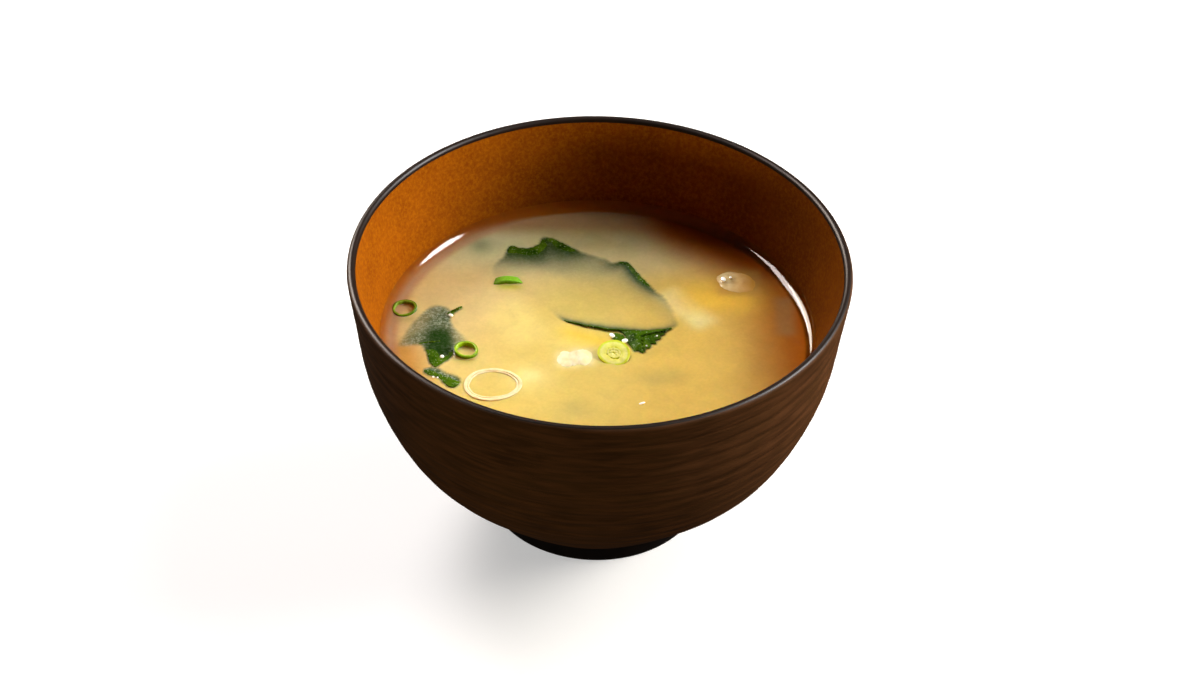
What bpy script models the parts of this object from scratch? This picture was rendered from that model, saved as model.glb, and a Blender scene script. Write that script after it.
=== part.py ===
"""A filled miso soup bowl, in metres, +Z up.

A turned lacquer bowl on a foot ring holds the soup, cut round the garnish that breaks its surface:
three pieces of wakame, six scallion and leek rings and slices, and a piece of onion.
The origin is at the middle of the foot ring's underside.
"""

import math

import bmesh
import bpy
from mathutils import Vector

MM = 0.001

# Bowl
RIM_RADIUS = 57.5 * MM
HEIGHT = 69.3 * MM
LIP_WIDTH = 2.0 * MM
TURNED_STEPS = 48  # facets round every turned shape, shared so that they nest
# The outer and inner walls, as (depth below the rim, radius) in shares of the rim's radius
OUTER_WALL = ((0.035, 0.998), (0.163, 0.981), (0.455, 0.936), (0.737, 0.821), (0.932, 0.655), (1.072, 0.518))
INNER_WALL = ((0.035, 0.963), (0.396, 0.873), (0.620, 0.800), (0.830, 0.620), (0.960, 0.350), (1.000, 0.0))
RIDGE_COUNT = 14
RIDGE_DEPTH = 0.3 * MM
INNER_WALL_POINTS = 10

# Foot ring
FOOT_HEIGHT = 5.6 * MM
FOOT_TOP_RADIUS = 27.0 * MM
FOOT_RADIUS = 26.0 * MM
FOOT_INNER_RADIUS = 21.5 * MM
FOOT_ROUNDING = 0.6 * MM
RECESS_DEPTH = 4.0 * MM

# Soup
SOUP_DEPTH_BELOW_RIM = 22.8 * MM
SOUP_LEVEL = HEIGHT - SOUP_DEPTH_BELOW_RIM
GAP = 0.3 * MM  # kept between neighbouring pieces
POCKET_MARGIN = 0.4 * MM  # room cut in the soup round each garnish
POCKET_TOP = SOUP_LEVEL + 5.0 * MM
LEAF_POCKET_GROWTH = 1.3 * MM  # outwards from a leaf's outline, more than the drop because the rim runs aslant

# Wakame: each outline is a closed curve through hand-placed points, in millimetres from the bowl's axis
LEAF_THICKNESS = 0.8 * MM
LEAF_CELLS = 8
LEAVES = {
    "wakame_large": {
        "outline": ((-23, 31), (-18, 33.4), (-13.5, 37), (-6, 33.2), (2, 28.6), (6.6, 28.4), (12, 20),
                    (17, 9), (17.6, 3.6), (14, -1), (10, -3.8), (5, 2.6), (-8, 6.6), (-12, 20), (-18, 27)),
        "sag": 3.0 * MM,
        "ripples": 5,
    },
    "wakame_left": {
        "outline": ((-45, -3.4), (-43, 4.6), (-39, 8.8), (-34.6, 8.2), (-33.8, 2), (-34.9, -4.8),
                    (-37, -10.4), (-40, -6)),
        "sag": 1.2 * MM,
        "ripples": 3,
    },
    "wakame_small": {
        "outline": ((-39.4, -12.8), (-35.8, -12.6), (-32.4, -15.4), (-32.6, -18.2), (-36, -16.4)),
        "sag": 0.5 * MM,
        "ripples": 4,
    },
}
LEAF_RIM_LIFT = 0.35 * MM
LEAF_RIPPLE = 0.2 * MM

# Scallion and leek rings: place and sizes in millimetres, tilt and turn in degrees.
# "sunk" is how far the middle of the ring's length lies below the soup's level.
RINGS = {
    "scallion_ring_rim": {"at": (-45.2, 9.2), "across": (6.0, 5.6), "wall": 0.8, "length": 2.2,
                          "sunk": 0.3, "tilt": 8, "turn": 40, "colour": (0.05, 0.16, 0.02)},
    "scallion_ring_left": {"at": (-30.6, -5.2), "across": (5.6, 5.2), "wall": 0.6, "length": 2.6,
                           "sunk": 0.5, "tilt": 10, "turn": 20, "colour": (0.23, 0.48, 0.04)},
    "scallion_ring_tilted": {"at": (-21.2, 20.6), "across": (7.8, 3.8), "wall": 0.7, "length": 2.4,
                             "sunk": 0.9, "tilt": 80, "turn": 6, "colour": (0.20, 0.50, 0.08)},
    "scallion_ring_pale": {"at": (3.7, -5.8), "across": (6.8, 6.6), "wall": 2.1, "length": 2.4,
                           "sunk": 0.3, "tilt": 20, "turn": 10, "colour": (0.68, 0.74, 0.16)},
    "leek_ring": {"at": (-23.8, -17.2), "across": (13.0, 11.4), "wall": 1.0, "length": 2.6,
                  "sunk": 0.8, "tilt": 2, "turn": 0, "colour": (0.85, 0.76, 0.50)},
}
RING_STEPS = 16
RING_BEVEL = 0.2 * MM

# Lumpy slices: place, sizes and heights in millimetres. "lump" is how far their two lobes stand out.
SLICE_CAGE_SPREAD = 1.18  # a subdivided cage shrinks by about this much
SLICES = {
    "leek_slice": {"at": (-5.8, -7.4), "across": (8.8, 5.4), "height": 3.2, "sunk": 1.1, "turn": 8,
                   "lump": 0.14, "colour": (0.90, 0.84, 0.62)},
    "onion_slice": {"at": (32.4, 21.6), "across": (9.2, 7.6), "height": 4.0, "sunk": 1.2, "turn": -12,
                    "lump": 0.05, "colour": (0.62, 0.48, 0.26)},
}


def material(name, colour, roughness):
    """A plain Principled material."""
    made = bpy.data.materials.new(name)
    made.use_nodes = True
    shader = made.node_tree.nodes["Principled BSDF"]
    shader.inputs["Base Color"].default_value = (*colour, 1.0)
    shader.inputs["Roughness"].default_value = roughness
    shader.inputs["Metallic"].default_value = 0.0
    return made


def add_object(name, mesh, collection, finish=None):
    """Links a mesh as an object of its own."""
    made = bpy.data.objects.new(name, mesh)
    collection.objects.link(made)
    if finish:
        mesh.materials.append(finish)
    return made


def as_cutter(made):
    made.hide_render = True
    made.display_type = "WIRE"
    return made


def spline_point(before, start, end, after, share):
    """A point of the Catmull-Rom curve between start and end."""
    return 0.5 * (
        2 * start
        + (end - before) * share
        + (2 * before - 5 * start + 4 * end - after) * share**2
        + (3 * start - before - 3 * end + after) * share**3
    )


def open_curve(stations, count):
    """count points, evenly spaced in the curve's own steps, through the stations from first to last."""
    knots = [Vector(station) for station in stations]
    knots = [2 * knots[0] - knots[1], *knots, 2 * knots[-1] - knots[-2]]
    spans = len(stations) - 1
    points = []
    for i in range(count):
        place = spans * i / (count - 1)
        span = min(int(place), spans - 1)
        points.append(spline_point(*knots[span:span + 4], place - span))
    return points


def closed_curve_point(stations, share):
    """The point at a share of the way round the closed curve through the stations."""
    count = len(stations)
    place = (share % 1.0) * count
    span = int(place)
    knots = [Vector(stations[(span + i) % count]) for i in range(-1, 3)]
    return spline_point(*knots, place - span)


def wall_points(stations, count):
    """(radius, height) points down a wall, from stations in shares of the rim's radius."""
    return [
        (radius * RIM_RADIUS, HEIGHT - depth * RIM_RADIUS)
        for depth, radius in open_curve(stations, count)
    ]


def lip_points():
    """The rounded lip, from its inner edge over the top to its outer edge."""
    radius = LIP_WIDTH / 2
    middle = RIM_RADIUS - radius
    return [
        (middle + radius * math.cos(angle), HEIGHT - radius + radius * math.sin(angle))
        for angle in (math.radians(a) for a in (180, 135, 90, 45, 0))
    ]


def ridged_wall_points():
    """The outer wall with its soft turned ridges: crests on the wall's curve, grooves just inside it."""
    points = wall_points(OUTER_WALL, 2 * RIDGE_COUNT + 1)
    for i in range(1, len(points) - 1, 2):
        (r0, z0), (r1, z1) = points[i - 1], points[i + 1]
        along = Vector((r1 - r0, z1 - z0)).normalized()
        radius, height = points[i]
        points[i] = (radius + along.y * RIDGE_DEPTH, height - along.x * RIDGE_DEPTH)
    return points


def bowl_profile():
    inner = wall_points(INNER_WALL, INNER_WALL_POINTS)[::-1]
    foot = [
        (FOOT_TOP_RADIUS, FOOT_HEIGHT),
        (FOOT_RADIUS, FOOT_ROUNDING),
        (FOOT_RADIUS - FOOT_ROUNDING, 0.0),
        (FOOT_INNER_RADIUS + FOOT_ROUNDING, 0.0),
        (FOOT_INNER_RADIUS, FOOT_ROUNDING),
        (FOOT_INNER_RADIUS - FOOT_ROUNDING, RECESS_DEPTH),
        (0.0, RECESS_DEPTH),
    ]
    return inner[:-1] + lip_points() + ridged_wall_points()[1:] + foot


def soup_profile():
    """The soup's level, then down inside the wall with an even gap to it."""
    wall = wall_points(INNER_WALL, INNER_WALL_POINTS)
    points = [(0.0, SOUP_LEVEL)]
    previous = None
    for i, (radius, height) in enumerate(wall[:-1]):
        below = wall[i + 1]
        along = Vector((below[0] - radius, below[1] - height)).normalized()
        inside = (radius + along.y * GAP, height - along.x * GAP)
        if inside[1] < SOUP_LEVEL:
            if previous[1] >= SOUP_LEVEL:
                share = (previous[1] - SOUP_LEVEL) / (previous[1] - inside[1])
                points.append((previous[0] + (inside[0] - previous[0]) * share, SOUP_LEVEL))
            points.append(inside)
        previous = inside
    points.append((0.0, wall[-1][1] + GAP))
    return points


def turned(name, profile, finish, collection):
    """A profile swept round the Z axis with a Screw modifier."""
    mesh = bpy.data.meshes.new(name)
    edges = [(i, i + 1) for i in range(len(profile) - 1)]
    mesh.from_pydata([(radius, 0.0, height) for radius, height in profile], edges, [])
    made = add_object(name, mesh, collection, finish)
    screw = made.modifiers.new("turn", "SCREW")
    screw.steps = screw.render_steps = TURNED_STEPS
    screw.use_merge_vertices = True
    screw.merge_threshold = 0.00001
    screw.use_smooth_shade = True
    return made


def leaf_surface(outline, sag, ripples, grow=0.0, drop=0.0):
    """A square grid bent to fill the outline: a shallow dish with a rippled rim that breaks the surface."""
    surface = bmesh.new()
    bmesh.ops.create_grid(surface, x_segments=LEAF_CELLS, y_segments=LEAF_CELLS, size=1.0)
    middle = sum((Vector(point) for point in outline), Vector((0, 0))) / len(outline)
    for vertex in surface.verts:
        u, v = vertex.co.x, vertex.co.y
        across = u * math.sqrt(1 - v * v / 2)
        up = v * math.sqrt(1 - u * u / 2)
        reach = min(math.hypot(across, up), 1.0)
        angle = math.atan2(up, across)
        edge = (closed_curve_point(outline, -angle / math.tau) - middle) * MM
        edge *= 1 + grow / edge.length
        ripple = LEAF_RIPPLE * reach * math.sin(ripples * angle)
        vertex.co.xy = middle * MM + edge * reach
        vertex.co.z = SOUP_LEVEL + LEAF_RIM_LIFT - sag * (1 - reach**2) + ripple - drop
    return surface


def finished_mesh(name, surface):
    """The bmesh as a mesh with its faces pointing out."""
    bmesh.ops.recalc_face_normals(surface, faces=surface.faces)
    mesh = bpy.data.meshes.new(name)
    surface.to_mesh(mesh)
    surface.free()
    mesh.shade_smooth()
    return mesh


def add_leaf(name, form, finish, collection):
    mesh = finished_mesh(name, leaf_surface(form["outline"], form["sag"], form["ripples"]))
    made = add_object(name, mesh, collection, finish)
    solidify = made.modifiers.new("thickness", "SOLIDIFY")
    solidify.thickness = LEAF_THICKNESS
    solidify.offset = 0.0
    return made


def leaf_pocket(name, form, collection):
    """The room for a leaf: its underside moved out and down, carried straight up out of the soup."""
    drop = LEAF_THICKNESS / 2 + POCKET_MARGIN
    surface = leaf_surface(
        form["outline"], form["sag"], form["ripples"], grow=LEAF_POCKET_GROWTH, drop=drop
    )
    top = bmesh.ops.extrude_face_region(surface, geom=surface.faces[:])
    for item in top["geom"]:
        if isinstance(item, bmesh.types.BMVert):
            item.co.z = POCKET_TOP
    return as_cutter(add_object(name + "_pocket", finished_mesh(name + "_pocket", surface), collection))


def ring_object(name, form, collection, finish=None, margin=0.0):
    """A short tube, slightly oval and uneven: an open band given its wall by Solidify."""
    band = bmesh.new()
    across, along = (size * MM / 2 for size in form["across"])
    wall = form["wall"] * MM
    length = form["length"] * MM
    bmesh.ops.create_cone(band, cap_ends=False, segments=RING_STEPS, radius1=1.0, radius2=1.0, depth=length)
    for vertex in band.verts:
        angle = math.atan2(vertex.co.y, vertex.co.x)
        uneven = 1 + 0.03 * math.sin(3 * angle + len(name))
        vertex.co.x *= (across - wall / 2) * uneven
        vertex.co.y *= (along - wall / 2) * uneven
        if margin:
            vertex.co.z += math.copysign(margin, vertex.co.z)
    made = add_object(name, finished_mesh(name, band), collection, finish)
    made.rotation_euler = (math.radians(form["tilt"]), 0, math.radians(form["turn"]))
    x, y = form["at"]
    made.location = (x * MM, y * MM, SOUP_LEVEL - form["sunk"] * MM)
    solidify = made.modifiers.new("wall", "SOLIDIFY")
    solidify.thickness = wall + 2 * margin
    solidify.offset = 0.0
    solidify.use_even_offset = True
    return made


def add_ring(name, form, finish, collection):
    made = ring_object(name, form, collection, finish)
    bevel = made.modifiers.new("soft_edges", "BEVEL")
    bevel.width = RING_BEVEL
    bevel.segments = 1
    return made


def slice_object(name, form, collection, finish=None, margin=0.0):
    """A soft slice with two lobes: a cage of a rounded block, smoothed by subdivision."""
    block = bmesh.new()
    bmesh.ops.create_cube(block, size=2.0)
    bmesh.ops.subdivide_edges(block, edges=block.edges[:], cuts=1, use_grid_fill=True)
    across, along = (size * MM / 2 for size in form["across"])
    half_height = form["height"] * MM / 2
    for vertex in block.verts:
        vertex.co.normalize()
        lobe = SLICE_CAGE_SPREAD * (1 + form["lump"] * math.cos(2 * math.pi * vertex.co.x))
        vertex.co.x *= across * SLICE_CAGE_SPREAD + margin
        vertex.co.y *= along * lobe + margin
        vertex.co.z *= half_height * lobe + margin
    made = add_object(name, finished_mesh(name, block), collection, finish)
    made.rotation_euler.z = math.radians(form["turn"])
    x, y = form["at"]
    made.location = (x * MM, y * MM, SOUP_LEVEL - form["sunk"] * MM)
    rounding = made.modifiers.new("soft", "SUBSURF")
    rounding.levels = rounding.render_levels = 1
    return made


def cut(made, cutter):
    boolean = made.modifiers.new(cutter.name, "BOOLEAN")
    boolean.operation = "DIFFERENCE"
    boolean.object = cutter


def main():
    for old in list(bpy.data.objects):
        bpy.data.objects.remove(old, do_unlink=True)
    parts = bpy.data.collections.new("miso_soup")
    cutters = bpy.data.collections.new("cutters")
    for collection in (parts, cutters):
        bpy.context.scene.collection.children.link(collection)

    lacquer = material("brown_lacquer", (0.035, 0.014, 0.006), 0.45)
    broth = material("miso_broth", (0.74, 0.46, 0.13), 0.15)
    seaweed = material("wakame_green", (0.020, 0.055, 0.010), 0.35)
    turned("bowl", bowl_profile(), lacquer, parts)
    soup = turned("soup", soup_profile(), broth, parts)

    for name, form in LEAVES.items():
        add_leaf(name, form, seaweed, parts)
        cut(soup, leaf_pocket(name, form, cutters))
    for name, form in RINGS.items():
        add_ring(name, form, material(name, form["colour"], 0.3), parts)
        cut(soup, as_cutter(ring_object(name + "_pocket", form, cutters, margin=POCKET_MARGIN)))
    for name, form in SLICES.items():
        slice_object(name, form, parts, material(name, form["colour"], 0.3))
        cut(soup, as_cutter(slice_object(name + "_pocket", form, cutters, margin=POCKET_MARGIN)))


main()
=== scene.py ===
"""The looks of a bowl of miso soup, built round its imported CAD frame. Metres, +Z up."""

import math

import bmesh
import bpy
import numpy as np
from mathutils import Matrix, Vector, noise
from mathutils.bvhtree import BVHTree


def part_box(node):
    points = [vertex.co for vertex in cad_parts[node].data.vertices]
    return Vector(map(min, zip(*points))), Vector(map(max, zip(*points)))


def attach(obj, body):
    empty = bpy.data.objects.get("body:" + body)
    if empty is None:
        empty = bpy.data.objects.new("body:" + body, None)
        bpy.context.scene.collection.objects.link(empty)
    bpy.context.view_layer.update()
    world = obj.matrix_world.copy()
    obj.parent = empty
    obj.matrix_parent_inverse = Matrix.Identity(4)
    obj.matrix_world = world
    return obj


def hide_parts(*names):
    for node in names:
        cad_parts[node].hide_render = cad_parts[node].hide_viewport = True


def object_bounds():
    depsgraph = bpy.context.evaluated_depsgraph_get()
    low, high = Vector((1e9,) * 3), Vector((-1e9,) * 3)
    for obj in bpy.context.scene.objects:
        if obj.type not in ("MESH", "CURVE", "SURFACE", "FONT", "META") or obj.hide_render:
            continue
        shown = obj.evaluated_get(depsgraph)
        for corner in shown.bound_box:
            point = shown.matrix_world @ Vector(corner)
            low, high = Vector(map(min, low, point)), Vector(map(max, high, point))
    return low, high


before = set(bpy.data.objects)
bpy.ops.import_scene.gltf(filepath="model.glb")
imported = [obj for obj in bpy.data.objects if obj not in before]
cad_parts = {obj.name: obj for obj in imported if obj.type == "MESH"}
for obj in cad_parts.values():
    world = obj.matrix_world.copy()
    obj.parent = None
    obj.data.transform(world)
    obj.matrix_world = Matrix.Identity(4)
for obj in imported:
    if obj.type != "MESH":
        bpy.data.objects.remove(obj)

CAD_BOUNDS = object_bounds()

MM = 0.001
RIM_RADIUS = CAD_BOUNDS[1].x
HEIGHT = CAD_BOUNDS[1].z
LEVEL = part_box("soup")[1].z  # the soup's flat surface
BODY = "root"

# Bowl, as in the CAD: (depth below the rim, radius) in shares of the rim's radius
OUTER_WALL = ((0.035, 0.998), (0.163, 0.981), (0.455, 0.936), (0.737, 0.821), (0.932, 0.655), (1.072, 0.518))
INNER_WALL = ((0.035, 0.963), (0.396, 0.873), (0.620, 0.800), (0.830, 0.620), (0.960, 0.350), (1.000, 0.0))
LIP_WIDTH = 2.0 * MM
FOOT_HEIGHT = 5.6 * MM
FOOT_TOP_RADIUS = 27.0 * MM
FOOT_RADIUS = 26.0 * MM
FOOT_INNER_RADIUS = 21.5 * MM
FOOT_ROUNDING = 0.6 * MM
RECESS_DEPTH = 4.0 * MM
BOWL_STEPS = 256
OUTER_POINTS = 150
INNER_POINTS = 60
RIDGE_PITCH = 4.1 * MM
RIDGE_DEPTH = 0.32 * MM

# Soup
SOUP_STEPS = 480
SOUP_RING_SPACING = 0.4 * MM
MENISCUS_START = 47.9 * MM  # the radius where the surface starts to climb the wall
MENISCUS_RISE = 1.9 * MM
MENISCUS_FALL_OFF = 0.95 * MM
WALL_REACH = 0.25 * MM  # how far the soup reaches into the wall
CLEAR_SHARE = 0.15  # how clear the broth is at the wall, where its cloud ends

# Camera: a long lens looking down at the bowl
CAMERA_DISTANCE = 12 * RIM_RADIUS
CAMERA_PITCH = math.radians(39.83)
CAMERA_ROLL = math.radians(1.46)
CAMERA_LENS = 89.2
CAMERA_AIM = Vector((0.0069 * RIM_RADIUS, 0, HEIGHT - 0.3891 * RIM_RADIUS))


def paint(red, green, blue):
    """A linear colour from display values of 0 to 255."""
    shares = (channel / 255 for channel in (red, green, blue))
    return tuple(share / 12.92 if share <= 0.04045 else ((share + 0.055) / 1.055) ** 2.4 for share in shares)


# ---------------------------------------------------------------- curves and meshes


def spline_point(before, start, end, after, share):
    """A point of the Catmull-Rom curve between start and end."""
    return 0.5 * (
        2 * start
        + (end - before) * share
        + (2 * before - 5 * start + 4 * end - after) * share**2
        + (3 * start - before - 3 * end + after) * share**3
    )


def open_curve(stations, count):
    """count points through the stations from first to last."""
    knots = [np.array(station, float) for station in stations]
    knots = [2 * knots[0] - knots[1], *knots, 2 * knots[-1] - knots[-2]]
    spans = len(stations) - 1
    points = []
    for place in np.linspace(0, spans, count):
        span = min(int(place), spans - 1)
        points.append(spline_point(*knots[span:span + 4], place - span))
    return np.array(points)


def closed_curve_point(stations, share):
    """The point at a share of the way round the closed curve through the stations."""
    count = len(stations)
    place = (share % 1.0) * count
    span = int(place)
    knots = [np.array(stations[(span + i) % count], float) for i in range(-1, 3)]
    return spline_point(*knots, place - span)


def wall_points(stations, count):
    """(radius, height) points down a wall."""
    curve = open_curve(stations, count)
    return np.column_stack((curve[:, 1] * RIM_RADIUS, HEIGHT - curve[:, 0] * RIM_RADIUS))


INNER_CURVE = wall_points(INNER_WALL, 400)


def inner_radius(height):
    """The inner wall's radius at a height."""
    return np.interp(height, INNER_CURVE[::-1, 1], INNER_CURVE[::-1, 0])


def add_object(name, mesh, *materials):
    made = bpy.data.objects.new(name, mesh)
    bpy.context.scene.collection.objects.link(made)
    for finish in materials:
        mesh.materials.append(finish)
    return made


def revolve(name, profile, steps, relief=None, band_of=None):
    """A closed turned mesh from (radius, height) points that start and end on the axis.

    relief(ring, angle) is how far each point stands out from the profile's radius."""
    rings = profile[1:-1]
    angles = np.arange(steps) * math.tau / steps
    radius = np.repeat(rings[:, 0][:, None], steps, axis=1)
    if relief is not None:
        radius = radius + relief(np.arange(len(rings))[:, None], angles[None, :])
    height = np.repeat(rings[:, 1][:, None], steps, axis=1)
    points = np.stack((radius * np.cos(angles), radius * np.sin(angles), height), axis=-1).reshape(-1, 3)
    top, bottom = len(points), len(points) + 1
    points = np.vstack((points, (0, 0, profile[0][1]), (0, 0, profile[-1][1])))
    index = np.arange(len(rings) * steps).reshape(len(rings), steps)
    beside = np.roll(index, -1, axis=1)
    quads = np.stack((index[:-1], index[1:], beside[1:], beside[:-1]), axis=-1).reshape(-1, 4)
    faces = quads.tolist()
    faces += [(top, a, b) for a, b in zip(index[0].tolist(), beside[0].tolist())]
    faces += [(bottom, b, a) for a, b in zip(index[-1].tolist(), beside[-1].tolist())]
    mesh = bpy.data.meshes.new(name)
    mesh.from_pydata(points.tolist(), [], faces)
    if band_of is not None:
        bands = [band_of(i) for i in range(len(rings) - 1)]
        picked = np.repeat(bands, steps).tolist() + [band_of(0)] * steps + [band_of(len(rings) - 1)] * steps
        mesh.polygons.foreach_set("material_index", picked)
    mesh.shade_smooth()
    return mesh


# ---------------------------------------------------------------- materials


class Finish:
    """A Principled material and the nodes that feed it."""

    def __init__(self, name, **values):
        self.material = bpy.data.materials.new(name)
        self.material.use_nodes = True
        self.tree = self.material.node_tree
        self.shader = self.tree.nodes["Principled BSDF"]
        self.output = self.tree.nodes["Material Output"]
        for socket, value in values.items():
            self.set(socket.replace("_", " ").title().replace("Ior", "IOR"), value)
        coordinates = self.tree.nodes.new("ShaderNodeTexCoord")
        self.place = coordinates.outputs["Object"]

    def set(self, socket, value):
        if isinstance(value, tuple) and len(value) == 3 and self.shader.inputs[socket].type == "RGBA":
            value = (*value, 1.0)
        self.shader.inputs[socket].default_value = value

    def link(self, output, socket):
        target = self.shader.inputs[socket] if isinstance(socket, str) else socket
        self.tree.links.new(output, target)

    def noise(self, size, detail=3.0, roughness=0.5, distortion=0.0, stretch=None):
        """A noise of about the given feature size in metres."""
        node = self.tree.nodes.new("ShaderNodeTexNoise")
        node.inputs["Scale"].default_value = 1.0 / size
        node.inputs["Detail"].default_value = detail
        node.inputs["Roughness"].default_value = roughness
        node.inputs["Distortion"].default_value = distortion
        place = self.place
        if stretch is not None:
            mapping = self.tree.nodes.new("ShaderNodeMapping")
            mapping.inputs["Scale"].default_value = stretch
            self.tree.links.new(place, mapping.inputs["Vector"])
            place = mapping.outputs["Vector"]
        self.tree.links.new(place, node.inputs["Vector"])
        return node.outputs["Fac"]

    def cells(self, size):
        """Random values, one for each cell of about the given size."""
        node = self.tree.nodes.new("ShaderNodeTexVoronoi")
        node.inputs["Scale"].default_value = 1.0 / size
        self.tree.links.new(self.place, node.inputs["Vector"])
        return node.outputs["Color"]

    def along_x(self, start, end):
        """0 to 1 from start to end along X."""
        parts = self.tree.nodes.new("ShaderNodeSeparateXYZ")
        self.tree.links.new(self.place, parts.inputs["Vector"])
        span = self.tree.nodes.new("ShaderNodeMapRange")
        span.inputs["From Min"].default_value = start
        span.inputs["From Max"].default_value = end
        self.tree.links.new(parts.outputs["X"], span.inputs["Value"])
        return span.outputs["Result"]

    def ramp(self, value, *stops):
        """Colours by value: each stop is (position, colour)."""
        node = self.tree.nodes.new("ShaderNodeValToRGB")
        elements = node.color_ramp.elements
        for i, (position, colour) in enumerate(stops):
            element = elements[i] if i < 2 else elements.new(position)
            element.position = position
            element.color = (*colour, 1.0) if isinstance(colour, tuple) else (colour, colour, colour, 1.0)
        self.tree.links.new(value, node.inputs["Fac"])
        return node.outputs["Color"]

    def mix(self, share, first, second, blend="MIX"):
        """Two colours mixed; each is an output or a plain colour, and share an output or a number."""
        node = self.tree.nodes.new("ShaderNodeMix")
        node.data_type = "RGBA"
        node.blend_type = blend
        colours = [socket for socket in node.inputs if socket.type == "RGBA"]
        for socket, value in ((node.inputs["Factor"], share), (colours[0], first), (colours[1], second)):
            if isinstance(value, bpy.types.NodeSocket):
                self.tree.links.new(value, socket)
            elif isinstance(value, tuple):
                socket.default_value = (*value, 1.0)
            else:
                socket.default_value = value
        return next(output for output in node.outputs if output.type == "RGBA")

    def attribute(self, name):
        node = self.tree.nodes.new("ShaderNodeAttribute")
        node.attribute_name = name
        return node

    def bump(self, value, depth):
        """Fine relief of the given depth in metres."""
        node = self.tree.nodes.new("ShaderNodeBump")
        node.inputs["Distance"].default_value = depth
        self.tree.links.new(value, node.inputs["Height"])
        self.link(node.outputs["Normal"], "Normal")


def outer_lacquer():
    """Satin dark brown lacquer with fine lathe marks and a little wear in its tone."""
    finish = Finish("outer_lacquer", roughness=0.5)
    finish.set("Specular IOR Level", 0.12)
    tone = finish.noise(14 * MM, detail=4)
    marks = finish.noise(1.0 * MM, detail=3, stretch=(0.12, 0.12, 1.0))
    broad = finish.ramp(tone, (0.3, paint(54, 32, 14)), (0.7, paint(64, 40, 18)))
    finish.link(finish.mix(finish.ramp(marks, (0.35, 0.0), (0.65, 1.0)), broad, paint(76, 46, 23)), "Base Color")
    finish.link(finish.ramp(marks, (0.3, 0.46), (0.7, 0.6)), "Roughness")
    finish.bump(marks, 0.03 * MM)
    return finish.material


def plain_lacquer(name, dark, light, roughness, specular):
    """A smooth lacquer with a faint orange-peel, for the lip and the foot."""
    finish = Finish(name, roughness=roughness)
    finish.set("Specular IOR Level", specular)
    tone = finish.noise(5 * MM, detail=4)
    finish.link(finish.ramp(tone, (0.3, dark), (0.7, light)), "Base Color")
    finish.bump(finish.noise(0.7 * MM, detail=2), 0.01 * MM)
    return finish.material


def inner_lacquer():
    """Amber lacquer full of fine gold flecks, darkened towards the right by painted shade."""
    finish = Finish("inner_lacquer", roughness=0.7)
    finish.set("Specular IOR Level", 0.008)
    clouds = finish.noise(9 * MM, detail=5)
    base = finish.ramp(clouds, (0.3, paint(115, 56, 5)), (0.7, paint(130, 66, 6)))
    grain = finish.noise(0.8 * MM, detail=4, roughness=0.75)
    grained = finish.mix(finish.ramp(grain, (0.42, 0.0), (0.66, 0.65)), base, paint(156, 91, 8))
    dark = finish.noise(1.1 * MM, detail=3, roughness=0.7)
    flecked = finish.mix(finish.ramp(dark, (0.5, 0.0), (0.75, 0.3)), grained, paint(92, 38, 0))
    # Painted shade: the wall darkens towards +X, on the right, where it lies away from the light.
    right_wall_shade = finish.ramp(finish.along_x(26 * MM, 48 * MM), (0.0, 1.0), (1.0, 0.62))
    finish.link(finish.mix(1.0, flecked, right_wall_shade, "MULTIPLY"), "Base Color")
    finish.link(finish.ramp(grain, (0.3, 0.64), (0.7, 0.8)), "Roughness")
    finish.bump(grain, 0.012 * MM)
    return finish.material


def broth():
    """Cloudy miso broth: its colour and clearness come from what lies below each point of its surface, and from painted
    shade and painted light laid into its colour.
    """
    finish = Finish("broth", roughness=0.06, ior=1.34, subsurface_weight=0.6, subsurface_scale=0.003)
    finish.set("Subsurface Radius", (1.0, 0.55, 0.2))
    seen = finish.attribute("seen")
    clouds = finish.noise(6 * MM, detail=6, roughness=0.6, distortion=0.6)
    grains = finish.noise(0.6 * MM, detail=2)
    shade = finish.ramp(clouds, (0.25, paint(236, 236, 236)), (0.75, paint(255, 255, 255)))
    mottled = finish.mix(1.0, seen.outputs["Color"], shade, "MULTIPLY")
    specks = finish.ramp(grains, (0.3, paint(248, 248, 248)), (0.7, paint(255, 255, 255)))
    speckled = finish.mix(1.0, mottled, specks, "MULTIPLY")
    frost = finish.noise(0.6 * MM, detail=3, roughness=0.7)
    grainy = finish.ramp(frost, (0.38, paint(58, 76, 52)), (0.5, paint(112, 128, 104)), (0.64, paint(196, 206, 184)))
    frosted = finish.mix(0.6, speckled, grainy)
    finish.link(finish.mix(finish.attribute("haze").outputs["Fac"], speckled, frosted), "Base Color")
    finish.link(finish.attribute("cloudiness").outputs["Fac"], "Alpha")
    glow = finish.ramp(finish.attribute("glow").outputs["Fac"], (0.0, 0.02), (1.0, 0.6))
    finish.link(glow, "Subsurface Weight")
    return finish.material


# ---------------------------------------------------------------- bowl


def lip_points():
    """The rounded lip, from its inner edge over the top to its outer edge."""
    radius = LIP_WIDTH / 2
    middle = RIM_RADIUS - radius
    turns = np.radians(np.linspace(180, 0, 15))
    return np.column_stack((middle + radius * np.cos(turns), HEIGHT - radius + radius * np.sin(turns)))


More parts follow.
